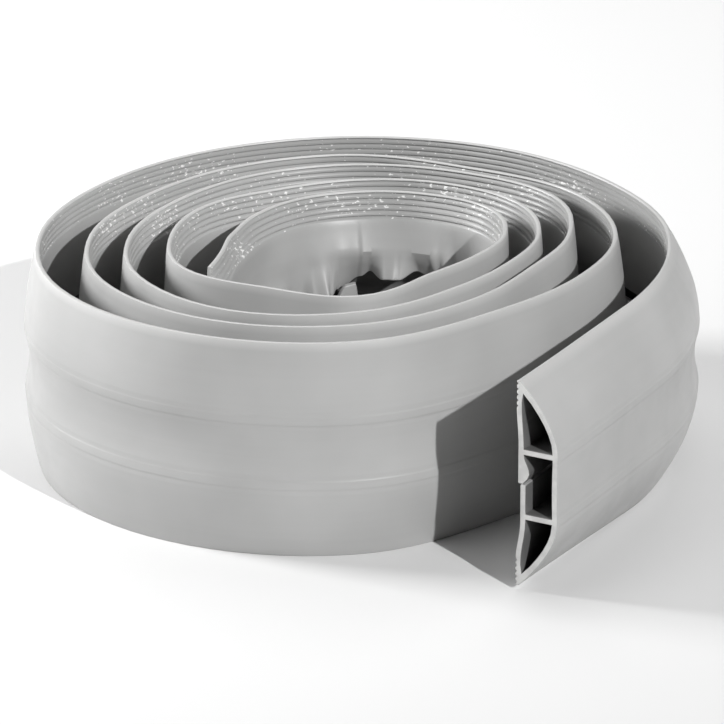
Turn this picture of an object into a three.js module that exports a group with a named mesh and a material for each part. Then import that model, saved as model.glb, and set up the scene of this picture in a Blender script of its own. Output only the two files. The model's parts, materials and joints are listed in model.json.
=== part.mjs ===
// Floor cord cover: one flexible plastic strip, wound up loosely and stood on its long edges.
// Millimetres, +Z up. The base centre of the whole thing is at the origin.
//
// The profile lies in u and v: u runs across the strip, v from its flat base to its domed top.
// Wound up, u stands upright, the flat base faces the coil's middle and the dome faces out.
// The free end runs along +X into the coil, which winds inwards, anticlockwise from above.

import * as THREE from 'three';

// Profile, as the strip would lie on a floor
const STRIP_WIDTH = 92;
const STRIP_HEIGHT = 19.8;
const EDGE_THICKNESS = 2;
const DOME_WALL = 2.6;
const BASE_WALL = 2.6;
const WEB_THICKNESS = 2.6;
const WEB_SPACING = 29;
const SLIT_WIDTH = 1;
const DOME_DIP = 1.1;
const CHANNEL_EDGE_MARGIN = 5.5;

// Profile, as winding flattens it: its dome sinks, it gets wider and the slit opens
const WOUND_SPREAD = 5;
const WOUND_CHANNEL_GAP = 0.8;
const WOUND_FULLNESS = 0.5;
const WOUND_HEIGHTS = [14.5, 7.5, 6, 5.5, 4.8, 4.5, 4, 3.6, 3, 2.6, 2.6];
const BASE_BEND_MARGIN = 15;
const DIP_FADES_BELOW = 7;

// Free end: straight, then a wide bend into the coil
const FREE_RUN = 99;
const FREE_BEND_RADIUS = 170;
const FREE_BEND_DEG = 31.5;
const FLATTENING_LENGTH = 150;

// Coil: bearings run from where the free end leaves it, every 30 degrees, inwards.
// The innermost turn is given by its distance from the coil's axis.
const BEARING_STEP_DEG = 30;
const COIL_END_DEG = 1654;
const EYE_RADIUS = 60;
const EYE_SHAPE = [26, 17.5, 18.5, 0, -2, 4.5, 8, 2, -3.5, -7, -9, -6, 10.5, 66];

// Air between a turn and the next one out, at the same bearings, from the outside in
const LOOSE_GAPS = [
  17.5, 15.5, 25, 19.5, 19.5, 19.5, 16.5, 14.5, 13, 14.5, 11.5, 17.5,
  14.5, 4.5, 1, 7.5, 8.5, 9.5, 11.5, 10.5, 8, 9.5, 10, 5.5,
  7.5, 12.5, 11.5, 15.5, 16.5, 9, 12, 16, 26.5, 13.5, 14.5, 11,
  9, 9, 11, 10.5, 10.5, 19.5, 20.5
];

// Base of the tight innermost turn, buckled: [bearing, value] pairs, with a smooth step between.
// Inside its gripping edges it is pushed towards the coil's axis, fully so from a fold line
// beside the web.
const UPPER_PUSH = [
  [1450, 0], [1478, 0], [1486, 3], [1491, 3.5], [1497, 2], [1502, 4], [1508, 5], [1526, 5],
  [1529, 0.5], [1536, 1], [1549, 3.5], [1560, 1.5], [1572, 2], [1590, 0]
];
const LOWER_PUSH = [
  [1450, 0], [1490, 3], [1505, 1], [1520, 2], [1545, 1], [1560, 3], [1600, 0]
];
const GRIP_WIDTH = 11.3;
const FOLD_LINE_MARGIN = 3;

// The flaps beside the slit swing towards the axis from the webs, by so many degrees
const UPPER_SWING = [
  [1440, 0], [1468, 0], [1480, 25], [1487, 25], [1493, -15], [1498, -28], [1504, -26], [1509, 40],
  [1512, 62], [1517, 64], [1520, 40], [1524.5, -24], [1530, -28], [1538, -26], [1542, -16],
  [1548, 38], [1553, 30], [1560, -8], [1568, -8], [1576, 10], [1590, 0]
];
const LOWER_SWING = [
  [1440, 0], [1480, 20], [1495, -12], [1510, -4], [1526, 0], [1530, 6], [1540, 10], [1556, 0],
  [1570, 15], [1590, 0]
];
const LOWER_REACH = [[1526.5, 0], [1528.5, 9.5], [1534, 9], [1542, 1], [1546, 0]];
const SWING_FROM = -0.2;
const SWING_UNTIL = 0.6;

// Dome behind those folds: how far it bulges out between its webs
const DOME_BULGE = [[1480, 0], [1497, 7], [1540, 7], [1552, 3], [1575, 0]];

// Cut end: its base bows up a little
const CUT_BOW_LENGTH = 60;
const UPPER_CUT_BOW = 1;
const LOWER_CUT_BOW = 2.1;

// Fineness of the solid: the coil's stations are a step apart up to each bearing
const FREE_RUN_STEPS = 5;
const FREE_BEND_STEPS = 4;
const STATION_STEPS_DEG = [[720, 12], [1440, 15], [1476, 9], [1557, 3], [1606, 7], [1654, 12]];
const DOME_STATIONS = [0.27, 0.6];
const FLAP_STEPS = 6;

const STRIP_NAME = 'cord_cover_strip';
const STRIP_COLOUR = 0xa2a2a1;
const STRIP_ROUGHNESS = 0.5;

const radians = THREE.MathUtils.degToRad;
const smoothstep = THREE.MathUtils.smoothstep;
const lerp = THREE.MathUtils.lerp;

const WOUND_WIDTH = STRIP_WIDTH + WOUND_SPREAD;
const FLAT_THICKNESS = DOME_WALL + WOUND_CHANNEL_GAP + BASE_WALL;

// Smooth value between the second and third of four neighbouring ones
function catmullRom(a, b, c, d, t) {
  const linear = c - a;
  const square = 2 * a - 5 * b + 4 * c - d;
  const cube = 3 * (b - c) + d - a;
  return b + 0.5 * t * (linear + t * (square + t * cube));
}

// Distance of the strip's base from the coil's axis at each bearing, worked out from the eye
function coilRadii() {
  const eyeStart = LOOSE_GAPS.length;
  const turnSteps = 360 / BEARING_STEP_DEG;
  const radii = new Array(eyeStart + EYE_SHAPE.length);
  EYE_SHAPE.forEach((offset, i) => {
    radii[eyeStart + i] = EYE_RADIUS + offset;
  });
  for (let i = eyeStart - 1; i >= 0; i -= 1) {
    radii[i] = radii[i + turnSteps] + FLAT_THICKNESS + LOOSE_GAPS[i];
  }
  return radii;
}

function coilPoint(radii, bearingDeg) {
  const place = bearingDeg / BEARING_STEP_DEG;
  const i = Math.min(Math.floor(place), radii.length - 2);
  const before = radii[Math.max(i - 1, 0)];
  const after = radii[Math.min(i + 2, radii.length - 1)];
  const radius = catmullRom(before, radii[i], radii[i + 1], after, place - i);
  const angle = radians(bearingDeg);
  return new THREE.Vector2(Math.cos(angle), Math.sin(angle)).multiplyScalar(radius);
}

// How far the dome stands over the base at this bearing of the coil
function woundHeight(bearingDeg) {
  const place = bearingDeg / 180;
  const i = Math.min(Math.floor(place), WOUND_HEIGHTS.length - 2);
  return lerp(WOUND_HEIGHTS[i], WOUND_HEIGHTS[i + 1], place - i);
}

// Value at a place between the knots, with a smooth step from each knot to the next
function alongKnots(knots, place) {
  const after = knots.findIndex(([knot]) => place < knot);
  if (after === 0) return knots[0][1];
  if (after < 0) return knots.at(-1)[1];
  const [start, low] = knots[after - 1];
  const [end, high] = knots[after];
  return lerp(low, high, smoothstep(place, start, end));
}

// Stations along the strip: place and heading of its base, and the profile's state there
function freeEndStations(start, heading) {
  const bend = radians(FREE_BEND_DEG);
  const stations = [];
  const bendLength = FREE_BEND_RADIUS * bend;
  const centre = start.clone().add(
    new THREE.Vector2(-Math.sin(heading), Math.cos(heading)).multiplyScalar(FREE_BEND_RADIUS));
  for (let i = FREE_BEND_STEPS - 1; i >= 0; i -= 1) {
    const share = i / FREE_BEND_STEPS;
    const turned = heading - bend * (1 - share);
    const point = new THREE.Vector2(Math.sin(turned), -Math.cos(turned))
      .multiplyScalar(FREE_BEND_RADIUS).add(centre);
    stations.unshift({ point, heading: turned, fromEnd: FREE_RUN + share * bendLength });
  }
  const bendStart = stations[0].point;
  const runHeading = heading - bend;
  const along = new THREE.Vector2(Math.cos(runHeading), Math.sin(runHeading));
  for (let i = FREE_RUN_STEPS - 1; i >= 0; i -= 1) {
    const fromEnd = FREE_RUN * i / FREE_RUN_STEPS;
    const point = bendStart.clone().addScaledVector(along, fromEnd - FREE_RUN);
    stations.unshift({ point, heading: runHeading, fromEnd });
  }
  const total = FREE_RUN + bendLength;
  stations.forEach((station) => {
    const wound = smoothstep(station.fromEnd, 0, total);
    station.height = lerp(STRIP_HEIGHT, WOUND_HEIGHTS[0], wound);
    station.width = lerp(STRIP_WIDTH, WOUND_WIDTH, smoothstep(station.fromEnd, 0, FLATTENING_LENGTH));
    const bow = 1 - smoothstep(station.fromEnd, 0, CUT_BOW_LENGTH);
    station.bulge = 0;
    station.upper = { push: -UPPER_CUT_BOW * bow, swing: 0, reach: 0 };
    station.lower = { push: -LOWER_CUT_BOW * bow, swing: 0, reach: 0 };
  });
  return stations;
}

function coilStations() {
  const radii = coilRadii();
  const nudge = 0.5;
  const stations = [];
  let bearing = 0;
  while (bearing <= COIL_END_DEG) {
    const before = coilPoint(radii, Math.max(bearing - nudge, 0));
    const ahead = coilPoint(radii, bearing + nudge).sub(before);
    stations.push({
      point: coilPoint(radii, bearing),
      heading: Math.atan2(ahead.y, ahead.x),
      height: woundHeight(bearing),
      width: WOUND_WIDTH,
      bulge: alongKnots(DOME_BULGE, bearing),
      upper: {
        push: alongKnots(UPPER_PUSH, bearing),
        swing: alongKnots(UPPER_SWING, bearing),
        reach: 0
      },
      lower: {
        push: alongKnots(LOWER_PUSH, bearing),
        swing: alongKnots(LOWER_SWING, bearing),
        reach: alongKnots(LOWER_REACH, bearing)
      }
    });
    const here = bearing;
    const [, step] = STATION_STEPS_DEG.find(([until]) => here < until) ?? STATION_STEPS_DEG.at(-1);
    bearing += step;
  }
  return stations;
}

// Height of the dome's outer face over the base, at a distance in from the long edge.
// It rounds up to the web at the free end, and rises more evenly where it is flattened.
function domeFace(distance, { width, height }) {
  const share = distance / ((width - WEB_SPACING) / 2);
  const fullness = lerp(WOUND_FULLNESS, 1, height / STRIP_HEIGHT);
  const rise = lerp(share, Math.sin(share * Math.PI / 2), fullness);
  return EDGE_THICKNESS + (height - EDGE_THICKNESS) * rise;
}

function domeSlope(distance, station) {
  const nudge = 0.1;
  return (domeFace(distance + nudge, station) - domeFace(distance - nudge, station)) / (2 * nudge);
}

// Base's outer face between the webs, which a dome flattened right down pushes outwards
function baseFace(height) {
  return -Math.max(0, FLAT_THICKNESS - height);
}

// Faces of the channel between base and dome, kept a little apart where the strip is flattened
function channelFaces(domeTop, baseOuter, slope) {
  const floor = baseOuter + BASE_WALL;
  const roof = domeTop - DOME_WALL * Math.hypot(1, slope);
  if (roof - floor >= WOUND_CHANNEL_GAP) return { floor, roof };
  const middle = (domeTop - DOME_WALL + floor) / 2;
  return { floor: middle - WOUND_CHANNEL_GAP / 2, roof: middle + WOUND_CHANNEL_GAP / 2 };
}

// Height of the base's outer face, pushed in or out towards its fold line
function baseOuter(inset, { height }, fold) {
  const level = baseFace(height) * Math.min(1, inset / BASE_BEND_MARGIN);
  const foldLine = (STRIP_WIDTH - WEB_SPACING) / 2 - FOLD_LINE_MARGIN;
  return level - fold.push * smoothstep(inset, GRIP_WIDTH, foldLine);
}

// Outer and inner corner of the flap's free edge, which swings round the foot of its web
function flapEdge(webFoot, slit, foot, fold) {
  const step = (webFoot - slit + fold.reach) / FLAP_STEPS;
  let u = webFoot;
  let v = foot;
  for (let i = 0; i < FLAP_STEPS; i += 1) {
    const swing = radians(fold.swing) * smoothstep(i / FLAP_STEPS, SWING_FROM, SWING_UNTIL);
    u -= step * Math.cos(swing);
    v -= step * Math.sin(swing);
  }
  const end = radians(fold.swing);
  return [[u, v], [u - BASE_WALL * Math.sin(end), v + BASE_WALL * Math.cos(end)]];
}

// One half of the profile, for u above zero: points as [u, v]
function halfProfile(station, fold) {
  const { width, height } = station;
  const edge = width / 2;
  const spread = (width - STRIP_WIDTH) / 2;
  const webTop = WEB_SPACING / 2;
  const webFoot = webTop + spread;
  const halfWeb = WEB_THICKNESS / 2;
  const foot = baseOuter(edge - webFoot, station, fold);
  const atWeb = channelFaces(height, foot, 0);
  const [lip, innerLip] = flapEdge(webFoot, SLIT_WIDTH / 2 + spread, foot, fold);
  const shoulder = DOME_STATIONS[1] * (edge - webTop);
  const underShoulder = baseOuter(shoulder, station, fold);
  const atShoulder = channelFaces(
    domeFace(shoulder, station), underShoulder, domeSlope(shoulder, station));
  const tip = CHANNEL_EDGE_MARGIN;
  const atTip = channelFaces(
    domeFace(tip, station), baseOuter(tip, station, fold), domeSlope(tip, station));
  const bend = BASE_BEND_MARGIN;
  return {
    edge: [[edge, 0], [edge, EDGE_THICKNESS]],
    dome: [
      ...DOME_STATIONS.map((share) => {
        const distance = share * (edge - webTop);
        return [edge - distance, domeFace(distance, station)];
      }),
      [webTop, height]
    ],
    middle: [[webTop - halfWeb, atWeb.roof], [webFoot - halfWeb, atWeb.floor], innerLip, lip],
    base: [[webFoot, foot], [edge - bend, baseOuter(bend, station, fold)]],
    channel: [
      [edge - tip, (atTip.floor + atTip.roof) / 2],
      [webFoot + halfWeb, atWeb.floor],
      [webTop + halfWeb, atWeb.roof],
      [edge - shoulder, atShoulder.roof]
    ]
  };
}

const mirrored = (points) => points.map(([u, v]) => [-u, v]).reverse();

// Whole profile: the outline, which the slit leads into the middle channel, and two side channels
function profile(station) {
  const upper = halfProfile(station, station.upper);
  const lower = halfProfile(station, station.lower);
  const dip = DOME_DIP * Math.min(1, station.height / DIP_FADES_BELOW);
  const crown = station.height - dip + station.bulge;
  const roof = channelFaces(crown, baseFace(station.height), 0).roof;
  const outline = [
    ...upper.edge, ...upper.dome, [0, crown], ...mirrored(lower.dome), ...mirrored(lower.edge),
    ...mirrored(lower.base), ...mirrored(lower.middle), [0, roof], ...upper.middle, ...upper.base
  ];
  return [outline, upper.channel, mirrored(lower.channel)];
}

// Closed skin through the profiles at all stations, with both cut ends
function loft(stations) {
  const sections = stations.map(profile);
  const loops = sections[0].map((loop) => loop.length);
  const stride = loops.reduce((sum, count) => sum + count, 0);
  const positions = [];
  stations.forEach(({ point, heading }, i) => {
    const outward = new THREE.Vector2(Math.sin(heading), -Math.cos(heading));
    sections[i].flat().forEach(([u, v]) => {
      positions.push(point.x + outward.x * v, point.y + outward.y * v, WOUND_WIDTH / 2 + u);
    });
  });

  const indices = [];
  for (let i = 0; i < stations.length - 1; i += 1) {
    let first = i * stride;
    loops.forEach((count) => {
      for (let j = 0; j < count; j += 1) {
        const a = first + j;
        const b = first + (j + 1) % count;
        indices.push(a, b, b + stride, a, b + stride, a + stride);
      }
      first += count;
    });
  }
  const capFaces = (section) => {
    const [outline, ...channels] = section.map((loop) => loop.map(([u, v]) => new THREE.Vector2(u, v)));
    return THREE.ShapeUtils.triangulateShape(outline, channels);
  };
  const last = (stations.length - 1) * stride;
  capFaces(sections[0]).forEach(([a, b, c]) => indices.push(a, c, b));
  capFaces(sections.at(-1)).forEach(([a, b, c]) => indices.push(last + a, last + b, last + c));

  const geometry = new THREE.BufferGeometry();
  geometry.setAttribute('position', new THREE.Float32BufferAttribute(positions, 3));
  geometry.setIndex(indices);
  return geometry;
}

function cordCoverStrip() {
  const coil = coilStations();
  const freeEnd = freeEndStations(coil[0].point, coil[0].heading);
  const geometry = loft([...freeEnd, ...coil]);
  geometry.rotateZ(-freeEnd[0].heading);
  geometry.computeBoundingBox();
  const middle = geometry.boundingBox.getCenter(new THREE.Vector3());
  geometry.translate(-middle.x, -middle.y, 0);
  geometry.computeVertexNormals();
  const material = new THREE.MeshStandardMaterial({
    color: STRIP_COLOUR,
    roughness: STRIP_ROUGHNESS,
    metalness: 0
  });
  const strip = new THREE.Mesh(geometry, material);
  strip.name = STRIP_NAME;
  return strip;
}

const cordCover = new THREE.Group();
cordCover.add(cordCoverStrip());

export default cordCover;
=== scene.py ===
# Floor cord cover: one flexible plastic strip, wound up loosely and stood on its long edges.
import bpy
import json
import math
from collections import namedtuple
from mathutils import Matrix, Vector
from mathutils.geometry import tessellate_polygon


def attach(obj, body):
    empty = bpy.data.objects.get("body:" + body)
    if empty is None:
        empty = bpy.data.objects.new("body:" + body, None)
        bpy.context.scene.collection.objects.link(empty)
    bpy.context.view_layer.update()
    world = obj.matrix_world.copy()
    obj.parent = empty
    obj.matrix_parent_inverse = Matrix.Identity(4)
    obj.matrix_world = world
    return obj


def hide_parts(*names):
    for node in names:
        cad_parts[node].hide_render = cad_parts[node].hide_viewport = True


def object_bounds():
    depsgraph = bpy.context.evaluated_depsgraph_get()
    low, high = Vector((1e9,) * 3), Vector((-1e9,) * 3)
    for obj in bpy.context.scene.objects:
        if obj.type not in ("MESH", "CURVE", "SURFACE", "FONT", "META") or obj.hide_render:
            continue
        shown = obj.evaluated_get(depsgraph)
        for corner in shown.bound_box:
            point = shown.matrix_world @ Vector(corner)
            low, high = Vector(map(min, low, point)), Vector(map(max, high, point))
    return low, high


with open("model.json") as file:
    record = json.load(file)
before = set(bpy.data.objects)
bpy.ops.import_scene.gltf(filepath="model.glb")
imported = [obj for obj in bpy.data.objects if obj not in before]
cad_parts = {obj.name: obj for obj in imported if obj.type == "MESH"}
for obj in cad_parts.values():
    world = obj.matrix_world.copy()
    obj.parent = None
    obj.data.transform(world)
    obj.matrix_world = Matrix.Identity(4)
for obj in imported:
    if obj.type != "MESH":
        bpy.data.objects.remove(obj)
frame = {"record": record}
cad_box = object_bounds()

MM = 0.001

# Profile, as the strip would lie on a floor, with the dip along the middle of its dome
STRIP_WIDTH = 92 * MM
STRIP_HEIGHT = 19.8 * MM
EDGE_THICKNESS = 2 * MM
DOME_WALL = 2.6 * MM
BASE_WALL = 2.6 * MM
WEB_THICKNESS = 2.6 * MM
WEB_SPACING = 29 * MM
SLIT_WIDTH = 1 * MM
DOME_DIP = 2 * MM
CHANNEL_EDGE_MARGIN = 5.5 * MM
EDGE_ROUNDING = 0.6 * MM
LIP_ROUNDING = 0.4 * MM
CUT_EDGE_ROUNDING = 0.2 * MM

# Profile, as winding flattens it: its dome sinks, it gets wider and the slit opens. The heights
# are those of the dome at every half turn, inwards
WOUND_SPREAD = 5 * MM
WOUND_CHANNEL_GAP = 0.8 * MM
LEAST_CHANNEL_GAP = 0.3 * MM
WOUND_FULLNESS = 0.5
WOUND_HEIGHTS = [height * MM for height in (14.5, 7.5, 6, 5.5, 4.8, 4.5, 4, 3.6, 3, 2.6, 2.6)]
BASE_BEND_MARGIN = 15 * MM
DIP_FADES_BELOW = 7 * MM
CUT_END_DIP_SHARE = 0.15
DIP_GROWTH_LENGTH = 130 * MM

# Grip ribs along both edges of the base, which grooves leave between them
FIRST_GROOVE_INSET = 1.3 * MM
GROOVE_PITCH = 2.5 * MM
GROOVE_COUNT = 5
GROOVE_DEPTH = 0.9 * MM
GROOVE_SHARPNESS = 3

# Free end: straight, then a wide bend into the coil
FREE_RUN = 99 * MM
FREE_BEND_RADIUS = 170 * MM
FREE_BEND_DEG = 31.5
FLATTENING_LENGTH = 150 * MM

# Coil: bearings run inwards from where the free end leaves it. The eye's shape is what each
# radius adds to the eye's own, and the loose gaps are the spaces to the next turn inwards
BEARING_STEP_DEG = 30
COIL_END_DEG = 1654
EYE_RADIUS = 60 * MM
EYE_SHAPE = [26, 17.5, 18.5, 0, -2, 4.5, 8, 2, -3.5, -7, -9, -6, 10.5, 66]
LOOSE_GAPS = [
    17.5, 15.5, 25, 19.5, 19.5, 19.5, 16.5, 14.5, 13, 14.5, 11.5, 17.5,
    14.5, 4.5, 1, 7.5, 8.5, 9.5, 11.5, 10.5, 8, 9.5, 10, 5.5,
    7.5, 12.5, 11.5, 15.5, 16.5, 9, 12, 16, 26.5, 13.5, 14.5, 11,
    9, 9, 11, 10.5, 10.5, 19.5, 20.5,
]

# Base of the tight innermost turn, buckled in its upper and its lower half. At each bearing: how
# far it is pushed towards the coil's axis at a fold line, how far that line lies from the web's
# foot towards the long edge, how many degrees the flap past it swings towards the axis, and how
# much longer than usual that flap is
UPPER_PUSH = [
    (1450, 0), (1476, 0), (1484, 1), (1490, 4), (1494, 6), (1527.5, 6), (1530, 5.4),
    (1538, 4.8), (1549, 3.5), (1560, 1.5), (1572, 2), (1590, 0),
]
UPPER_RISE = [(1476, 0), (1488, 6), (1538, 6), (1562, 0)]
UPPER_SWING = [
    (1440, 0), (1468, 0), (1480, 20), (1487, 15), (1491.5, -18), (1496, -32), (1501, -32),
    (1509, 15), (1512, 22), (1517, 18), (1525, -31), (1531, -31), (1539, -20),
    (1544, 0), (1549, 25), (1555, 15), (1560, -8), (1568, -8), (1576, 10), (1590, 0),
]
UPPER_REACH = [
    (1480, 0), (1490, -2), (1497, -6), (1504, -9), (1509, -7.5), (1518, -7.5), (1522.5, -8.5),
    (1528, -4), (1535, 1), (1546, 0),
]
LOWER_PUSH = [(1450, 0), (1490, 3), (1505, 1), (1520, 2), (1545, 1), (1560, 3), (1600, 0)]
LOWER_RISE = [(0, 0)]
LOWER_SWING = [
    (1440, 0), (1480, 20), (1495, -12), (1510, -4), (1526, 0), (1530, 6), (1540, 10), (1556, 0),
    (1570, 15), (1590, 0),
]
LOWER_REACH = [(1529, 0), (1531, 9.5), (1536, 9), (1543, 1), (1547, 0)]
FOLD_LINE_MARGIN = 3 * MM

# A fold is sharp where its line lies far from the web. The base then bends late towards the line,
# and the flap has its whole swing sooner: it starts before the hinge, in shares of the flap
SHARP_FOLD_RISE = 6 * MM
SHARP_FOLD_POWER = 1.3
SWING_FROM = -0.2
SWING_UNTIL = 0.6
SHARP_SWING_UNTIL = 0.45

# Dome behind those folds: how far it bulges out between its webs
DOME_BULGE = [(1480, 0), (1497, 7), (1540, 7), (1552, 3), (1575, 0)]

# Cut end: its base bows up a little, and the upper lip of its slit is swollen and curls in
CUT_BOW_LENGTH = 60 * MM
UPPER_CUT_BOW = 1 * MM
LOWER_CUT_BOW = 2.1 * MM
CUT_SWELL = 2.8 * MM
CUT_SWELL_LENGTH = 16 * MM
CUT_SWELL_LEAN = 1.5

# Fineness of the mesh
DOME_STEPS = 10
CROWN_STEPS = 5
GROOVE_POINTS = 4
BASE_STEPS = 8
FLAP_STEPS = 6
CHANNEL_STEPS = 6
PATH_STEP_DEG = 0.5
RUN_STEP = 3 * MM
SWING_STEPS = 10
FREE_STEP = 2
STATION_STEPS_DEG = [(720, 4), (1440, 5), (1476, 2), (1494, 1), (1556, 0.5), (1604, 1), (1654, 2)]
SHARP_ANGLE_DEG = 40

# Finish of the plastic, as linear colours
DARK_GREY = (0.335, 0.335, 0.332)
LIGHT_GREY = (0.385, 0.385, 0.382)
DUST_WHITE = (0.8, 0.8, 0.79)
# Painted shade: the walls inside the channels get this dark grey, which stands for the shade deep in them
CHANNEL_PAINTED_SHADE_GREY = (0.12, 0.12, 0.119)
# Painted highlight: the thin face along the upper long edge gets this lighter grey, which stands for the
# light that catches it
LONG_EDGE_PAINTED_HIGHLIGHT_GREY = (0.47, 0.47, 0.465)
# Cut face greys: paler than the strip's, partly as a knife cut is and partly as painted light for how
# brightly the cut face is lit
CUT_DARK_GREY = (0.46, 0.46, 0.455)
CUT_LIGHT_GREY = (0.56, 0.56, 0.55)

# Relief and gloss of the plastic
STREAK_SHARE = 0.12
NOISE_LOW = 0.3
NOISE_HIGH = 0.7
GLOSSY_ROUGHNESS = 0.36
DULL_ROUGHNESS = 0.47
CUT_GLOSSY_ROUGHNESS = 0.55
CUT_DULL_ROUGHNESS = 0.7
WAVE_HEIGHT = 0.6 * MM
GRAIN_HEIGHT = 0.05 * MM
KNIFE_MARK_HEIGHT = 0.08 * MM
DUST_COVER = 0.85
DUST_PATCH_SHARE = 0.5
DUST_FROM = 0.89
DUST_WHOLE = 0.94

# Bead over each web, and the fine valley and bank beside it, in shares of the bead's width
BEAD_WIDTH = 3.4 * MM
BEAD_HEIGHT = 0.2 * MM
BEAD_TOP_SHARE = 0.3
VALLEY_SHARE = 0.7
BANK_SHARE = 1.3
BANK_HEIGHT_SHARE = 0.7

# Studio: each soft box has watts, azimuth from the camera, elevation, width and distance
FLOOR_WIDTH = 12
FLOOR_WHITE = (0.7, 0.7, 0.7, 1)
FLOOR_ROUGHNESS = 0.9
KEY_DIRECTION = Vector((0.387, 0.75, -0.537))
KEY_STRENGTH = 3.15
KEY_ANGLE_DEG = 1
SOFT_BOXES = [
    ("left_lamp", 34, -105, 22, 0.45, 1.6),
    ("front_left_soft_box", 4, -60, 40, 1, 1.6),
    ("right_soft_box", 6, 110, 25, 1.2, 1.8),
    ("back_soft_box", 10, 180, 60, 1.2, 1.8),
]
AIR_STRENGTH = 0.02

# Camera, placed in the frame; its lens and sensor are in millimetres
CAMERA_TARGET = Vector((-24.8, -6.4, 48.5)) * MM
CAMERA_DIRECTION = Vector((-0.8157, -0.458, 0.3535))
CAMERA_DISTANCE = 2800 * MM
CAMERA_LENS = 316.85
CAMERA_SENSOR = 36

WOUND_WIDTH = STRIP_WIDTH + WOUND_SPREAD
FLAT_THICKNESS = DOME_WALL + WOUND_CHANNEL_GAP + BASE_WALL
LAST_GROOVE_INSET = FIRST_GROOVE_INSET + GROOVE_PITCH * (GROOVE_COUNT - 1)
WEB_INSET = (STRIP_WIDTH - WEB_SPACING) / 2
SLIT_INSET = (STRIP_WIDTH - SLIT_WIDTH) / 2

# Points round each half of the outline: the ribs start a point before the first groove's middle
# and end two after the last one's, and the long edge and the lip have as many as their corners need
RIB_POINTS = 1 + GROOVE_POINTS * (GROOVE_COUNT - 1) + 1 + 2
EDGE_POINTS = 5
LIP_POINTS = 2
POINTS_TO_EDGE = CROWN_STEPS + DOME_STEPS
POINTS_TO_RIBS = POINTS_TO_EDGE + EDGE_POINTS
POINTS_TO_CHANNEL = POINTS_TO_RIBS + RIB_POINTS + BASE_STEPS + FLAP_STEPS + 1 + LIP_POINTS

# State of the profile at a distance along the strip, and of each half of its base there
Station = namedtuple("Station", "distance width height dip bulge upper lower")
Fold = namedtuple("Fold", "push rise swing reach swell")


def lerp(a, b, t):
    return a + (b - a) * t


def smoothstep(x, low, high):
    t = min(max((x - low) / (high - low), 0), 1)
    return t * t * (3 - 2 * t)


def catmull_rom(a, b, c, d, t):
    """Smooth value between the second and third of four neighbouring ones."""
    linear = c - a
    square = 2 * a - 5 * b + 4 * c - d
    cube = 3 * (b - c) + d - a
    return b + 0.5 * t * (linear + t * (square + t * cube))


# Path of the strip's base


def coil_radii():
    """Distance of the strip's base from the coil's axis at each bearing, from the eye outwards."""
    turn_steps = 360 // BEARING_STEP_DEG
    eye = [EYE_RADIUS + offset * MM for offset in EYE_SHAPE]
    radii = [0] * len(LOOSE_GAPS) + eye
    for i in reversed(range(len(LOOSE_GAPS))):
        radii[i] = radii[i + turn_steps] + FLAT_THICKNESS + LOOSE_GAPS[i] * MM
    return radii


def coil_point(radii, bearing):
    """Point of the strip's base at a bearing, on a smooth line through the radii."""
    place = bearing / BEARING_STEP_DEG
    i = min(int(place), len(radii) - 2)
    before = radii[max(i - 1, 0)]
    after = radii[min(i + 2, len(radii) - 1)]
    radius = catmull_rom(before, radii[i], radii[i + 1], after, place - i)
    angle = math.radians(bearing)
    return Vector((math.cos(angle), math.sin(angle))) * radius


def wound_height(bearing):
    """Height of the dome over the base, which gets less with every half turn inwards."""
    place = bearing / 180
    i = min(int(place), len(WOUND_HEIGHTS) - 2)
    return lerp(WOUND_HEIGHTS[i], WOUND_HEIGHTS[i + 1], place - i)


def along_knots(knots, place):
    """Value at a place between the knots, with a smooth step from each knot to the next."""
    if place <= knots[0][0]:
        return knots[0][1]
    for (start, before), (end, after) in zip(knots, knots[1:]):
        if place < end:
            return lerp(before, after, smoothstep(place, start, end))
    return knots[-1][1]


def strip_path():
    """The path's points from the cut end inwards, and their bearings, which are None outside the coil."""
    radii = coil_radii()
    start = coil_point(radii, 0)
    ahead = coil_point(radii, PATH_STEP_DEG) - start
    heading = math.atan2(ahead.y, ahead.x)
    bend = math.radians(FREE_BEND_DEG)
    run_heading = heading - bend
    left = Vector((-math.sin(heading), math.cos(heading)))
    centre = start + left * FREE_BEND_RADIUS
    points = []
    bend_steps = round(FREE_BEND_DEG / PATH_STEP_DEG)
    for i in range(bend_steps):
        turned = run_heading + bend * i / bend_steps
        points.append(centre + Vector((math.sin(turned), -math.cos(turned))) * FREE_BEND_RADIUS)
    along = Vector((math.cos(run_heading), math.sin(run_heading)))
    run_steps = round(FREE_RUN / RUN_STEP)
    bend_start = points[0]
    run = [bend_start - along * FREE_RUN * (1 - i / run_steps) for i in range(run_steps)]
    bearings = [step * PATH_STEP_DEG for step in range(round(COIL_END_DEG / PATH_STEP_DEG) + 1)]
    points = run + points + [coil_point(radii, bearing) for bearing in bearings]
    bearings = [None] * (len(points) - len(bearings)) + bearings
    return place_on_frame(points, run_heading), bearings


def place_on_frame(points, run_heading):
    """Turns the path's free run along +X and puts its cut end where the frame's mounts say."""
    mounts = {mount["name"]: mount["pos_m"] for mount in frame["record"]["mounts"]}
    end = Vector((mounts["cut_end"][0], mounts["floor_face"][1]))
    cos, sin = math.cos(-run_heading), math.sin(-run_heading)
    turned = [Vector((p.x * cos - p.y * sin, p.x * sin + p.y * cos)) for p in points]
    return [p - turned[0] + end for p in turned]


def path_lengths(points):
    """Distance of each point from the cut end, along the path."""
    lengths = [0]
    for a, b in zip(points, points[1:]):
        lengths.append(lengths[-1] + (b - a).length)
    return lengths


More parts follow.
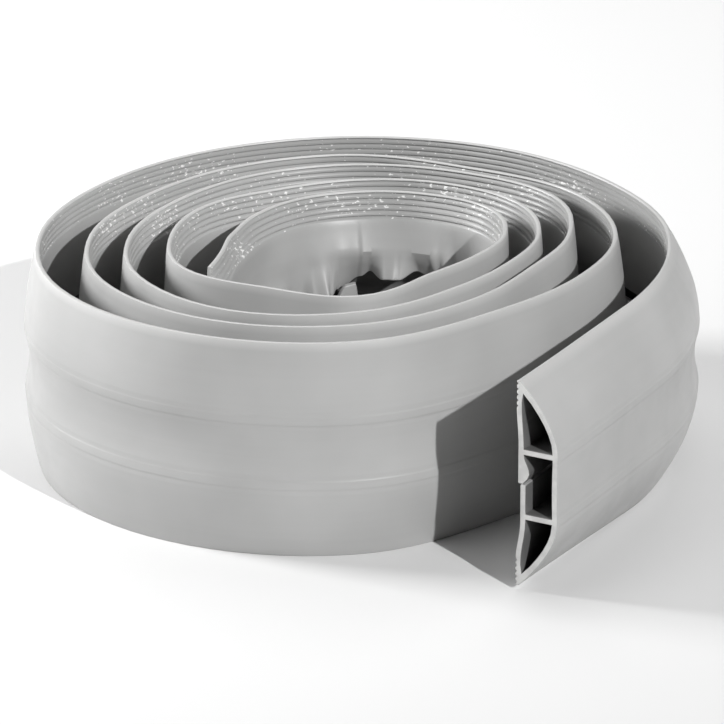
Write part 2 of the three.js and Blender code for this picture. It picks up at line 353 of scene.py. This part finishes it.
def station_at(distance, bearing):
    """State of the profile at a distance from the cut end."""
    if bearing is None:
        bend_length = FREE_BEND_RADIUS * math.radians(FREE_BEND_DEG)
        wound = smoothstep(distance, 0, FREE_RUN + bend_length)
        height = lerp(STRIP_HEIGHT, WOUND_HEIGHTS[0], wound)
        width = lerp(STRIP_WIDTH, WOUND_WIDTH, smoothstep(distance, 0, FLATTENING_LENGTH))
        bow = 1 - smoothstep(distance, 0, CUT_BOW_LENGTH)
        swell = CUT_SWELL * (1 - smoothstep(distance, 0, CUT_SWELL_LENGTH))
        upper = Fold(-UPPER_CUT_BOW * bow, 0, 0, 0, swell)
        lower = Fold(-LOWER_CUT_BOW * bow, 0, 0, 0, 0)
        dip = DOME_DIP * lerp(CUT_END_DIP_SHARE, 1, smoothstep(distance, 0, DIP_GROWTH_LENGTH))
        return Station(distance, width, height, dip, 0, upper, lower)
    upper = fold_at(bearing, UPPER_PUSH, UPPER_RISE, UPPER_SWING, UPPER_REACH)
    lower = fold_at(bearing, LOWER_PUSH, LOWER_RISE, LOWER_SWING, LOWER_REACH)
    bulge = along_knots(DOME_BULGE, bearing) * MM
    height = wound_height(bearing)
    dip = DOME_DIP * min(1, (height / DIP_FADES_BELOW) ** 2)
    return Station(distance, WOUND_WIDTH, height, dip, bulge, upper, lower)


def fold_at(bearing, pushes, rises, swings, reaches):
    """State of one half of the buckled base at a bearing."""
    push = along_knots(pushes, bearing) * MM
    rise = along_knots(rises, bearing) * MM
    reach = along_knots(reaches, bearing) * MM
    return Fold(push, rise, along_knots(swings, bearing), reach, 0)


def strip_stations(lengths, bearings):
    """Stations at as many of the path's points as its curves and folds need."""
    stations = []
    for i, (distance, bearing) in enumerate(zip(lengths, bearings)):
        if bearing is None:
            keep = i % FREE_STEP == 0
        else:
            step = next(step for until, step in STATION_STEPS_DEG if bearing <= until)
            keep = bearing % step == 0
        if keep or i == len(lengths) - 1:
            stations.append(station_at(distance, bearing))
    return stations


# Profile: points are (u, v), with u across the strip and v from its base to its dome


def dome_face(inset, station):
    """Height of the dome's outer face, at a distance in from the long edge."""
    share = inset / ((station.width - WEB_SPACING) / 2)
    fullness = lerp(WOUND_FULLNESS, 1, station.height / STRIP_HEIGHT)
    rise = lerp(share, math.sin(share * math.pi / 2), fullness)
    return EDGE_THICKNESS + (station.height - EDGE_THICKNESS) * rise


def dome_slope(inset, station):
    """Rise of the dome's outer face per length across the strip."""
    nudge = 0.1 * MM
    return (dome_face(inset + nudge, station) - dome_face(inset - nudge, station)) / (2 * nudge)


def base_face(height):
    """Height of the base's middle, which bows out where the sunken dome leaves it no room."""
    return -max(0, FLAT_THICKNESS - height)


def channel_faces(dome_top, base_outer, slope):
    """Floor and roof of a channel between base and dome, at least the wound gap apart."""
    floor = base_outer + BASE_WALL
    roof = dome_top - DOME_WALL * math.hypot(1, slope)
    if roof - floor >= WOUND_CHANNEL_GAP:
        return floor, roof
    middle = (dome_top - DOME_WALL + floor) / 2
    return middle - WOUND_CHANNEL_GAP / 2, middle + WOUND_CHANNEL_GAP / 2


def hinge_inset(fold):
    """Where the base starts to swing, in from the long edge: at the web's foot, or before it."""
    return WEB_INSET - fold.rise


def fold_line_inset(fold):
    """Where the push is whole, in from the long edge: at the hinge, and always before the web."""
    return WEB_INSET - max(FOLD_LINE_MARGIN, fold.rise)


def base_outer_face(inset, station, fold):
    """Height of the base's outer face: level with the edge, and pushed in or out towards its fold."""
    bow = base_face(station.height) * smoothstep(inset, 0, BASE_BEND_MARGIN)
    even = (inset - LAST_GROOVE_INSET) / (fold_line_inset(fold) - LAST_GROOVE_INSET)
    even = min(max(even, 0), 1)
    return bow - fold.push * lerp(smoothstep(even, 0, 1), even ** SHARP_FOLD_POWER, sharpness(fold))


def sharpness(fold):
    """From 0 where the base only bends at its fold line to 1 where it is creased."""
    return min(1, fold.rise / SHARP_FOLD_RISE)


def base_place(inset, station, fold):
    """Point of the base's outer face at this inset, and the angle to which the base has swung."""
    edge = station.width / 2
    hinge = hinge_inset(fold)
    start = min(inset, hinge)
    u, v = edge - start, base_outer_face(start, station, fold)
    if inset <= hinge:
        return u, v, 0
    flap = SLIT_INSET + fold.reach - hinge
    until = lerp(SWING_UNTIL, SHARP_SWING_UNTIL, sharpness(fold))
    step = (inset - hinge) / SWING_STEPS
    for i in range(SWING_STEPS):
        along = (i + 0.5) * step / flap
        swing = math.radians(fold.swing) * smoothstep(along, SWING_FROM, until)
        u -= step * math.cos(swing)
        v -= step * math.sin(swing)
    swing = math.radians(fold.swing) * smoothstep((inset - hinge) / flap, SWING_FROM, until)
    return u, v, swing


def inner_place(inset, station, fold, wall=BASE_WALL):
    """Point of the base's inner face, a wall over its outer one."""
    u, v, swing = base_place(inset, station, fold)
    return u - wall * math.sin(swing), v + wall * math.cos(swing)


def crown_height(u, station):
    """Height of the dome's outer face between the webs, where it dips or bulges."""
    share = u / (WEB_SPACING / 2)
    bulge = station.bulge * (1 + math.cos(math.pi * share)) / 2
    return station.height + bulge - station.dip * (1 - share ** 2)


def flap_faces(station, fold):
    """Outer and inner face of the flap from beside the web to the slit, as (u, v) points."""
    start = WEB_INSET + WEB_THICKNESS / 2
    outer, inner = [], []
    for i in range(FLAP_STEPS + 1):
        along = i / FLAP_STEPS
        inset = lerp(start, SLIT_INSET + fold.reach, along)
        wall = BASE_WALL + fold.swell * math.sin(math.pi * along ** CUT_SWELL_LEAN)
        outer.append(base_place(inset, station, fold)[:2])
        inner.append(inner_place(inset, station, fold, wall))
    return outer, inner


def rounded_lip(outer, inner):
    """Blunt end of the flap between its outer and inner face, with its corners taken off."""
    (outer_u, outer_v), (inner_u, inner_v) = outer[-1], inner[-1]
    across = Vector((inner_u - outer_u, inner_v - outer_v)).normalized()
    ahead = Vector((-across.y, across.x)) * LIP_ROUNDING
    start, end = Vector(outer[-1]) + ahead, Vector(inner[-1]) + ahead
    return [tuple(start + across * LIP_ROUNDING), tuple(end - across * LIP_ROUNDING)]


def dome_points(station):
    """The dome's outer face, from its middle to the long edge's rounding."""
    edge = station.width / 2
    web_top = WEB_SPACING / 2
    points = []
    for i in range(CROWN_STEPS):
        u = web_top * i / CROWN_STEPS
        points.append((u, crown_height(u, station)))
    for i in range(DOME_STEPS):
        inset = lerp(edge - web_top, EDGE_ROUNDING, i / DOME_STEPS)
        points.append((edge - inset, dome_face(inset, station)))
    return points


def edge_rounding(edge):
    """The long edge's thin face, from the dome round to the base, with its corners rounded."""
    corner = EDGE_ROUNDING * (1 - math.sqrt(0.5))
    return [
        (edge - corner, EDGE_THICKNESS - corner),
        (edge, EDGE_THICKNESS - EDGE_ROUNDING),
        (edge, EDGE_ROUNDING),
        (edge - corner, corner),
        (edge - EDGE_ROUNDING, 0),
    ]


def base_points(station, fold):
    """The base's outer face, from the long edge's rounding over its ribs to beside the web."""
    edge = station.width / 2
    insets = [FIRST_GROOVE_INSET + GROOVE_PITCH * (i - 1) / GROOVE_POINTS for i in range(RIB_POINTS)]
    last_rib, fold_line = insets[-1], fold_line_inset(fold)
    insets += [lerp(last_rib, fold_line, i / (BASE_STEPS - 1)) for i in range(1, BASE_STEPS)]
    points = [(edge - inset, base_outer_face(inset, station, fold)) for inset in insets]
    return points + [base_place((fold_line + WEB_INSET) / 2, station, fold)[:2]]


def middle_channel_roof(station, floor):
    """Underside of the dome, from the web to the middle, which always stays over the floor."""
    channel_side = (WEB_SPACING - WEB_THICKNESS) / 2
    roof = max(channel_faces(station.height, floor - BASE_WALL, 0)[1], floor + WOUND_CHANNEL_GAP)
    points = [(channel_side, roof)]
    for i in range(1, CROWN_STEPS + 1):
        u = channel_side * (1 - i / CROWN_STEPS)
        points.append((u, max(crown_height(u, station) - DOME_WALL, floor + LEAST_CHANNEL_GAP)))
    return points


def half_outline(station, fold):
    """From the middle of the dome round the edge to the slit, and back inside to the middle."""
    outer, inner = flap_faces(station, fold)
    outside = dome_points(station) + edge_rounding(station.width / 2) + base_points(station, fold) + outer
    inside = inner[::-1] + middle_channel_roof(station, inner[0][1])
    return outside + rounded_lip(outer, inner) + inside


def side_channel(station, fold):
    """Side channel, clockwise: from its tip along the floor to the web, and back under the dome."""
    edge = station.width / 2
    web_top = WEB_SPACING / 2 + WEB_THICKNESS / 2

    def faces_at(inset):
        outer = base_place(inset, station, fold)[1]
        return channel_faces(dome_face(inset, station), outer, dome_slope(inset, station))

    tip = CHANNEL_EDGE_MARGIN
    floor_points, roof_points = [], []
    for i in range(1, CHANNEL_STEPS + 1):
        along = i / CHANNEL_STEPS
        inset = lerp(tip, WEB_INSET - WEB_THICKNESS / 2, along)
        floor_points.append((inner_place(inset, station, fold)[0], faces_at(inset)[0]))
        inset = lerp(tip, edge - web_top, along)
        roof_points.append((edge - inset, faces_at(inset)[1]))
    start = (edge - tip, sum(faces_at(tip)) / 2)
    return [start] + floor_points + roof_points[::-1]


def mirrored(points):
    """The points of the strip's other half, in the same turning direction."""
    return [(-u, v) for u, v in reversed(points)]


def profile(station):
    """Outline, which the slit leads into the middle channel, and the two side channels."""
    upper = half_outline(station, station.upper)
    lower = half_outline(station, station.lower)
    outline = upper + mirrored(lower[1:-1])
    upper_channel = side_channel(station, station.upper)
    lower_channel = side_channel(station, station.lower)
    return [outline[::-1], upper_channel, mirrored(lower_channel)]


def drawn_in(loop, amount):
    """The loop moved into the material by a small amount, for the rounding at a cut end."""
    moved = []
    count = len(loop)
    for i, (u, v) in enumerate(loop):
        before, after = loop[i - 1], loop[(i + 1) % count]
        du, dv = after[0] - before[0], after[1] - before[1]
        size = math.hypot(du, dv) or 1
        moved.append((u - amount * dv / size, v + amount * du / size))
    return moved


# Straight strip, with the profile that each station has once it is wound


def strip_rings(stations):
    """Distance and profile of each station, with a small rounding towards both cut faces."""
    first, last = stations[0], stations[-1]
    small = CUT_EDGE_ROUNDING
    rings = [(first.distance, [drawn_in(loop, small) for loop in profile(first)])]
    rings.append((first.distance + small, profile(first)))
    rings += [(station.distance, profile(station)) for station in stations[1:-1]]
    rings.append((last.distance - small, profile(last)))
    rings.append((last.distance, [drawn_in(loop, small) for loop in profile(last)]))
    return rings


def side_faces(ring_count, loops):
    """Faces between each ring and the next one, as the numbers of their vertices."""
    stride = sum(loops)
    faces = []
    for i in range(ring_count - 1):
        start = i * stride
        for count in loops:
            for j in range(count):
                a, b = start + j, start + (j + 1) % count
                faces.append((a, b, b + stride, a + stride))
            start += count
    return faces


def straight_strip(stations):
    """Skin of the strip along X, as a mesh that knows its ribs, its channel walls for their painted
    shade, its upper edge for its painted highlight, and its cut faces.
    """
    rings = strip_rings(stations)
    loops = [len(loop) for loop in rings[0][1]]
    stride = sum(loops)
    vertices = [(distance, u, v) for distance, ring in rings for loop in ring for u, v in loop]
    faces = side_faces(len(rings), loops)
    caps = len(faces)
    insets = rib_insets(rings, stride)
    faces += cut_face(rings[0][1], insets, 0, -1)
    faces += cut_face(rings[-1][1], insets, (len(rings) - 1) * stride, 1)

    mesh = bpy.data.meshes.new("cord_cover_strip_skin")
    mesh.from_pydata(vertices, [], faces)
    add_numbers(mesh, "inset", "FLOAT", "POINT", insets)
    add_numbers(mesh, "channel_painted_shade", "FLOAT", "POINT", channel_shade_shares(rings, stride))
    add_numbers(mesh, "edge_painted_highlight", "FLOAT", "POINT", edge_highlight_shares(rings, stride))
    add_numbers(mesh, "cut_face", "BOOLEAN", "FACE", [i >= caps for i in range(len(faces))])
    add_strip_uv(mesh, rings, loops)
    return mesh


def cut_face(ring, insets, start, facing):
    """Triangles over a cut end, round its channels and grooves, facing along the strip or against it."""
    loops = []
    first = start
    for loop in ring:
        depths = [groove_depth(inset) for inset in insets[first:first + len(loop)]]
        loops.append([Vector((u, v + depth, 0)) for (u, v), depth in zip(loop, depths)])
        first += len(loop)
    points = [point for loop in loops for point in loop]
    triangles = []
    for a, b, c in tessellate_polygon(loops):
        turn = (points[b] - points[a]).cross(points[c] - points[a]).z
        order = (a, b, c) if turn * facing > 0 else (a, c, b)
        triangles.append(tuple(start + index for index in order))
    return triangles


def groove_depth(inset):
    """Depth of the grip ribs' grooves, as the winding's nodes cut them."""
    pitches = (inset - FIRST_GROOVE_INSET) / GROOVE_PITCH
    if not -0.5 < pitches < GROOVE_COUNT - 0.5:
        return 0
    return GROOVE_DEPTH * (0.5 + 0.5 * math.cos(2 * math.pi * pitches)) ** GROOVE_SHARPNESS


def half_place(j, outline):
    """How many points past the middle of the dome this one is, round either half of the outline."""
    return min(len(outline) - 1 - j, j + 1)


def rib_insets(rings, stride):
    """Distance in from the nearer long edge where the ribs run on the base, and -1 elsewhere."""
    insets = []
    for distance, ring in rings:
        outline = ring[0]
        edge = max(u for u, v in outline)
        for j, (u, v) in enumerate(outline):
            on_ribs = 0 <= half_place(j, outline) - POINTS_TO_RIBS < RIB_POINTS
            insets.append(edge - abs(u) if on_ribs else -1)
        insets += [-1] * (stride - len(outline))
    return insets


def channel_shade_shares(rings, stride):
    """1 on the walls of the channels, whose darkness is painted shade, and 0 on the outer faces."""
    outline = rings[0][1][0]
    shares = [float(half_place(j, outline) >= POINTS_TO_CHANNEL) for j in range(len(outline))]
    return (shares + [1.0] * (stride - len(outline))) * len(rings)


def edge_highlight_shares(rings, stride):
    """1 on the thin face along the strip's upper long edge, which gets a painted highlight, and 0
    elsewhere.
    """
    outline = rings[0][1][0]
    shares = []
    for j, (u, v) in enumerate(outline):
        on_edge = 0 <= half_place(j, outline) - POINTS_TO_EDGE < EDGE_POINTS
        shares.append(float(on_edge and u > 0))
    return (shares + [0.0] * (stride - len(outline))) * len(rings)


def add_numbers(mesh, name, kind, domain, values):
    """Attribute of the mesh with one number for each point or face."""
    attribute = mesh.attributes.new(name, kind, domain)
    attribute.data.foreach_set("value", values)


def lengths_round(loop):
    """Distance round the loop at each of its points, and back at the first one."""
    total = [0]
    for a, b in zip(loop, loop[1:] + loop[:1]):
        total.append(total[-1] + math.hypot(b[0] - a[0], b[1] - a[1]))
    return total


def web_places(station):
    """Distances round the profile at which its two webs meet the dome."""
    outline = profile(station)[0]
    return [length for j, length in enumerate(lengths_round(outline)[:-1])
            if half_place(j, outline) == CROWN_STEPS]


def add_strip_uv(mesh, rings, loops):
    """UV map in metres: x is the distance round the profile, y the distance along the strip."""
    rounds = [lengths_round(loop) for loop in rings[1][1]]
    layer = mesh.uv_layers.new(name="strip_uv")
    values = []
    for i in range(len(rings) - 1):
        near, far = rings[i][0], rings[i + 1][0]
        for count, total in zip(loops, rounds):
            for j in range(count):
                values += [total[j], near, total[j + 1], near, total[j + 1], far, total[j], far]
    numbers_per_face = 8
    caps = len(values) // numbers_per_face
    for polygon in list(mesh.polygons)[caps:]:
        for vertex in polygon.vertices:
            place = mesh.vertices[vertex].co
            values += [place.y, place.z]
    layer.data.foreach_set("uv", values)


# Winding, by Geometry Nodes: cuts the ribs and lays the straight strip along its path


class Nodes:
    """A node tree with short calls to add nodes and link them."""

    def __init__(self, tree):
        self.tree = tree

    def node(self, kind, inputs=None, **settings):
        """Node with its settings, whose inputs are linked to sockets or set to values."""
        node = self.tree.nodes.new(kind)
        for key, value in settings.items():
            setattr(node, key, value)
        for key, value in (inputs or {}).items():
            if isinstance(value, bpy.types.NodeSocket):
                self.tree.links.new(value, node.inputs[key])
            else:
                node.inputs[key].default_value = value
        return node

    def math(self, operation, *values):
        return self.node("ShaderNodeMath", dict(enumerate(values)), operation=operation).outputs[0]


class GeometryTree(Nodes):
    """A geometry node tree with named sizes, for a modifier."""

    def __init__(self, name):
        super().__init__(bpy.data.node_groups.new(name, "GeometryNodeTree"))
        self.tree.interface.new_socket("Geometry", in_out="OUTPUT", socket_type="NodeSocketGeometry")
        self.tree.interface.new_socket("Geometry", in_out="INPUT", socket_type="NodeSocketGeometry")
        self.sockets = {}

    def size(self, name, kind, value):
        """Named input of the tree, and the value that a modifier with this tree gets."""
        socket = self.tree.interface.new_socket(name, in_out="INPUT", socket_type=kind)
        self.sockets[socket.identifier] = value

    def add_to(self, obj):
        modifier = obj.modifiers.new(self.tree.name, "NODES")
        modifier.node_group = self.tree
        for identifier, value in self.sockets.items():
            modifier[identifier] = value


def winding_tree(path, plastic, cut_plastic):
    """Cuts the grooves by each point's inset, and bends the strip: X along the path, Y up, Z outwards."""
    tree = GeometryTree("wind_strip_along_path")
    tree.size("Path", "NodeSocketObject", path)
    tree.size("Middle above floor", "NodeSocketFloat", WOUND_WIDTH / 2)
    tree.size("First groove inset", "NodeSocketFloat", FIRST_GROOVE_INSET)
    tree.size("Groove pitch", "NodeSocketFloat", GROOVE_PITCH)
    tree.size("Groove count", "NodeSocketFloat", float(GROOVE_COUNT))
    tree.size("Groove depth", "NodeSocketFloat", GROOVE_DEPTH)
    tree.size("Groove sharpness", "NodeSocketFloat", float(GROOVE_SHARPNESS))
    given = tree.node("NodeGroupInput").outputs
    wound = tree.node("GeometryNodeSetPosition",
                      {"Geometry": given["Geometry"], "Position": wound_place(tree, given)})
    single = tree.node("GeometryNodeRealizeInstances", {0: wound.outputs[0]})
    skin = tree.node("GeometryNodeSetMaterial",
                     {"Geometry": single.outputs[0], "Material": plastic})
    is_cut = tree.node("GeometryNodeInputNamedAttribute", {"Name": "cut_face"}, data_type="BOOLEAN")
    finished = tree.node("GeometryNodeSetMaterial",
                         {"Geometry": skin.outputs[0], "Selection": is_cut.outputs[0],
                          "Material": cut_plastic})
    tree.node("NodeGroupOutput", {0: finished.outputs[0]})
    return tree


def groove_depth_socket(tree, given):
    """Depth of the grooves at each point's inset, in nodes."""
    inset = tree.node("GeometryNodeInputNamedAttribute", {"Name": "inset"}, data_type="FLOAT").outputs[0]
    from_first = tree.math("SUBTRACT", inset, given["First groove inset"])
    pitches = tree.math("DIVIDE", from_first, given["Groove pitch"])
    past_edge = tree.math("GREATER_THAN", pitches, -0.5)
    before_plain = tree.math("LESS_THAN", pitches, tree.math("SUBTRACT", given["Groove count"], 0.5))
    wave = tree.math("COSINE", tree.math("MULTIPLY", pitches, 2 * math.pi))
    groove = tree.math("POWER", tree.math("MULTIPLY_ADD", wave, 0.5, 0.5), given["Groove sharpness"])
    return tree.math("MULTIPLY", tree.math("MULTIPLY", groove, given["Groove depth"]),
                     tree.math("MULTIPLY", past_edge, before_plain))


def wound_place(tree, given):
    """Each point's place on the wound strip, in nodes."""
    place = tree.node("ShaderNodeSeparateXYZ", {0: tree.node("GeometryNodeInputPosition").outputs[0]})
    path_curve = tree.node("GeometryNodeObjectInfo", {"Object": given["Path"]}).outputs["Geometry"]
    on_path = tree.node("GeometryNodeSampleCurve",
                        {"Curves": path_curve, "Length": place.outputs["X"]}, mode="LENGTH")
    outward = tree.node("ShaderNodeVectorMath",
                        {0: on_path.outputs["Tangent"], 1: (0, 0, 1)}, operation="CROSS_PRODUCT")
    outward = tree.node("ShaderNodeVectorMath", {0: outward.outputs[0]}, operation="NORMALIZE")
    over_base = tree.math("ADD", place.outputs["Z"], groove_depth_socket(tree, given))
    out = tree.node("ShaderNodeVectorMath",
                    {0: outward.outputs[0], "Scale": over_base}, operation="SCALE")
    raised = tree.node("ShaderNodeCombineXYZ",
                       {"Z": tree.math("ADD", place.outputs["Y"], given["Middle above floor"])})
    moved = tree.node("ShaderNodeVectorMath", {0: on_path.outputs["Position"], 1: out.outputs[0]},
                      operation="ADD")
    moved = tree.node("ShaderNodeVectorMath", {0: moved.outputs[0], 1: raised.outputs[0]},
                      operation="ADD")
    return moved.outputs[0]


def path_curve_object(points):
    """The path as a curve for the winding's nodes."""
    curve = bpy.data.curves.new("winding_path", "CURVE")
    curve.dimensions = "3D"
    spline = curve.splines.new("POLY")
    spline.points.add(len(points) - 1)
    for spline_point, point in zip(spline.points, points):
        spline_point.co = (point.x, point.y, 0, 1)
    path = bpy.data.objects.new("winding_path", curve)
    bpy.context.scene.collection.objects.link(path)
    return path


def cord_cover_strip():
    """The whole strip, wound up and finished."""
    points, bearings = strip_path()
    stations = strip_stations(path_lengths(points), bearings)
    path = path_curve_object(points)
    strip = bpy.data.objects.new("cord_cover_strip_wound", straight_strip(stations))
    bpy.context.scene.collection.objects.link(strip)
    plastic, cut_plastic = strip_plastic(web_places(stations[0])), cut_strip_plastic()
    winding_tree(path, plastic, cut_plastic).add_to(strip)
    graph = bpy.context.evaluated_depsgraph_get()
    wound = bpy.data.meshes.new_from_object(strip.evaluated_get(graph))
    strip.modifiers.clear()
    strip.data = wound
    bpy.data.objects.remove(path)
    keep_in_box(wound, *cad_box)
    wound.shade_smooth()
    wound.set_sharp_from_angle(angle=math.radians(SHARP_ANGLE_DEG))
    return strip


def keep_in_box(mesh, low, high):
    """Takes off the fraction of a millimetre by which a smooth bend passes a faceted one."""
    for vertex in mesh.vertices:
        vertex.co = [min(max(value, low[axis]), high[axis]) for axis, value in enumerate(vertex.co)]


# Finishes


class Finish(Nodes):
    """A material whose colour, roughness and bump come from patterns on the piece."""

    def __init__(self, name):
        self.material = bpy.data.materials.new(name)
        self.material.use_nodes = True
        super().__init__(self.material.node_tree)

    def object_place(self):
        return self.node("ShaderNodeTexCoord").outputs["Object"]

    def strip_place(self, across, along):
        """Place on the strip, in repeats: so many per metre round the profile and along it."""
        place = self.node("ShaderNodeUVMap", uv_map="strip_uv").outputs["UV"]
        return self.node("ShaderNodeMapping", {"Vector": place, "Scale": (across, along, 1)}).outputs[0]

    def noise(self, place, scale=1.0, detail=2.0):
        """Soft random pattern round a middle of 0.5."""
        inputs = {"Vector": place, "Scale": scale, "Detail": detail}
        return self.node("ShaderNodeTexNoise", inputs).outputs[0]

    def attribute(self, name):
        return self.node("ShaderNodeAttribute", attribute_name=name).outputs["Fac"]

    def map_range(self, value, low=NOISE_LOW, high=NOISE_HIGH, to_low=0.0, to_high=1.0):
        """Value with a soft step from one range to another, by default from most of a noise's range."""
        inputs = {0: value, 1: low, 2: high, 3: to_low, 4: to_high}
        return self.node("ShaderNodeMapRange", inputs, interpolation_type="SMOOTHSTEP").outputs[0]

    def greys(self, value, dark, light):
        """Colour between a dark and a light grey, by a value from 0 to 1."""
        mix = self.node("ShaderNodeMix", {0: value, 6: (*dark, 1), 7: (*light, 1)}, data_type="RGBA")
        return mix.outputs[2]

    def over(self, under, colour, share):
        """The colour laid over another one, as far as the share says."""
        mix = self.node("ShaderNodeMix", {0: share, 6: under, 7: (*colour, 1)}, data_type="RGBA")
        return mix.outputs[2]

    def bump(self, height, distance, strength=1.0, after=None):
        inputs = {"Height": height, "Distance": distance, "Strength": strength}
        if after:
            inputs["Normal"] = after
        return self.node("ShaderNodeBump", inputs).outputs[0]

    def finished(self, colour, roughness, normal):
        shader = self.tree.nodes["Principled BSDF"]
        self.tree.links.new(colour, shader.inputs["Base Color"])
        self.tree.links.new(roughness, shader.inputs["Roughness"])
        self.tree.links.new(normal, shader.inputs["Normal"])
        return self.material


def strip_plastic(webs):
    """Satin light grey flexible plastic, as it comes off the extruder, with painted shade on its
    channels' walls and a painted highlight along its upper edge.
    """
    finish = Finish("strip_plastic_satin_grey")
    cloud = finish.noise(finish.object_place(), scale=14.0, detail=3.0)
    streak = finish.noise(finish.strip_place(across=260.0, along=5.0), detail=3.0)
    clouds = finish.math("MULTIPLY", cloud, 1 - STREAK_SHARE)
    tone = finish.math("MULTIPLY_ADD", streak, STREAK_SHARE, clouds)
    colour = finish.greys(finish.map_range(tone), DARK_GREY, LIGHT_GREY)
    colour = finish.over(colour, DUST_WHITE, dust_on_ribs(finish))
    # Painted highlight: the upper long edge is lightened to stand for the light that catches it
    colour = finish.over(colour, LONG_EDGE_PAINTED_HIGHLIGHT_GREY, finish.attribute("edge_painted_highlight"))
    # Painted shade: the channels' walls are darkened to stand for the shade inside them
    colour = finish.over(colour, CHANNEL_PAINTED_SHADE_GREY, finish.attribute("channel_painted_shade"))

    rub = finish.noise(finish.object_place(), scale=60.0, detail=4.0)
    roughness = finish.map_range(rub, to_low=GLOSSY_ROUGHNESS, to_high=DULL_ROUGHNESS)
    waves = finish.noise(finish.strip_place(across=28.0, along=16.0), detail=1.0)
    grain = finish.noise(finish.object_place(), scale=1500.0)
    normal = finish.bump(waves, WAVE_HEIGHT, strength=0.5)
    normal = finish.bump(web_beads(finish, webs), BEAD_HEIGHT, after=normal)
    normal = finish.bump(grain, GRAIN_HEIGHT, strength=0.35, after=normal)
    return finish.finished(colour, roughness, normal)


def dust_on_ribs(finish):
    """Share of white dust: specks in loose patches, and only where the grip ribs hold them."""
    on_ribs = finish.math("GREATER_THAN", finish.attribute("inset"), 0.25 * FIRST_GROOVE_INSET)
    specks = finish.noise(finish.strip_place(across=850.0, along=400.0))
    patches = finish.noise(finish.strip_place(across=55.0, along=22.0))
    amount = finish.math("MULTIPLY_ADD", patches, DUST_PATCH_SHARE, specks)
    dust = finish.map_range(amount, DUST_FROM, DUST_WHOLE)
    return finish.math("MULTIPLY", finish.math("MULTIPLY", dust, on_ribs), DUST_COVER)


def web_beads(finish, webs):
    """Height of the low bead over each web, and of the bank past the fine valley beside it."""
    place = finish.node("ShaderNodeUVMap", uv_map="strip_uv").outputs["UV"]
    across = finish.node("ShaderNodeSeparateXYZ", {0: place}).outputs["X"]
    top, valley, bank_top = [share * BEAD_WIDTH for share in (BEAD_TOP_SHARE, VALLEY_SHARE, BANK_SHARE)]
    heights = []
    for web in webs:
        aside = finish.math("ABSOLUTE", finish.math("SUBTRACT", across, web))
        bead = finish.map_range(aside, valley, top)
        bank = finish.map_range(aside, valley, bank_top, 0.0, BANK_HEIGHT_SHARE)
        heights.append(finish.math("ADD", bead, bank))
    return finish.math("MINIMUM", *heights)


def cut_strip_plastic():
    """The same plastic where a knife has cut it: duller, with the blade's fine marks, and paler, partly
    as a cut is and partly as painted light for how brightly the cut face is lit.
    """
    finish = Finish("strip_plastic_cut_face")
    cloud = finish.noise(finish.object_place(), scale=180.0, detail=3.0)
    colour = finish.greys(finish.map_range(cloud), CUT_DARK_GREY, CUT_LIGHT_GREY)
    marks = finish.noise(finish.strip_place(across=2600.0, along=120.0))
    roughness = finish.map_range(marks, to_low=CUT_GLOSSY_ROUGHNESS, to_high=CUT_DULL_ROUGHNESS)
    return finish.finished(colour, roughness, finish.bump(marks, KNIFE_MARK_HEIGHT, strength=0.6))


# Floor, lights and camera


def studio_floor():
    """Plain pale paper under the coil."""
    mesh = bpy.data.meshes.new("studio_floor")
    half = FLOOR_WIDTH / 2
    mesh.from_pydata([(-half, -half, 0), (half, -half, 0), (half, half, 0), (-half, half, 0)], [],
                     [(0, 1, 2, 3)])
    floor = bpy.data.objects.new("studio_floor", mesh)
    bpy.context.scene.collection.objects.link(floor)
    material = bpy.data.materials.new("floor_paper")
    material.use_nodes = True
    shader = material.node_tree.nodes["Principled BSDF"]
    shader.inputs["Base Color"].default_value = FLOOR_WHITE
    shader.inputs["Roughness"].default_value = FLOOR_ROUGHNESS
    mesh.materials.append(material)


def studio_lights():
    """A hard key light, which gives the free end's shadow, and soft boxes round the coil."""
    key = bpy.data.objects.new("key_light", bpy.data.lights.new("key_light", "SUN"))
    key.data.energy = KEY_STRENGTH
    key.data.angle = math.radians(KEY_ANGLE_DEG)
    key.rotation_euler = KEY_DIRECTION.to_track_quat("-Z", "Y").to_euler()
    bpy.context.scene.collection.objects.link(key)
    for name, watts, azimuth, elevation, size, distance in SOFT_BOXES:
        soft_box(name, watts, azimuth, elevation, size, distance)
    world = bpy.data.worlds.new("studio_air")
    world.use_nodes = True
    background = world.node_tree.nodes["Background"]
    background.inputs["Color"].default_value = (1, 1, 1, 1)
    background.inputs["Strength"].default_value = AIR_STRENGTH
    bpy.context.scene.world = world
    bpy.context.scene.view_settings.view_transform = "Standard"


def soft_box(name, watts, azimuth, elevation, size, distance):
    """Square lamp that faces the coil, with its azimuth from the camera, positive to the right."""
    lamp = bpy.data.objects.new(name, bpy.data.lights.new(name, "AREA"))
    lamp.data.energy = watts
    lamp.data.shape = "SQUARE"
    lamp.data.size = size
    camera_bearing = math.atan2(CAMERA_DIRECTION.y, CAMERA_DIRECTION.x)
    turned = camera_bearing + math.radians(azimuth)
    raised = math.radians(elevation)
    flat = math.cos(raised)
    direction = Vector((math.cos(turned) * flat, math.sin(turned) * flat, math.sin(raised)))
    lamp.location = CAMERA_TARGET + direction * distance
    lamp.rotation_euler = direction.to_track_quat("Z", "Y").to_euler()
    bpy.context.scene.collection.objects.link(lamp)


def studio_camera():
    """Long lens at the photo's angle."""
    camera = bpy.data.objects.new("studio_camera", bpy.data.cameras.new("studio_camera"))
    camera.data.lens = CAMERA_LENS
    camera.data.sensor_width = CAMERA_SENSOR
    camera.data.clip_end = 100
    camera.location = CAMERA_TARGET + CAMERA_DIRECTION.normalized() * CAMERA_DISTANCE
    camera.rotation_euler = CAMERA_DIRECTION.to_track_quat("Z", "Y").to_euler()
    bpy.context.scene.collection.objects.link(camera)
    bpy.context.scene.camera = camera


studio_camera()
studio_lights()
studio_floor()
strip = cord_cover_strip()
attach(strip, "root")
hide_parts("cord_cover_strip")
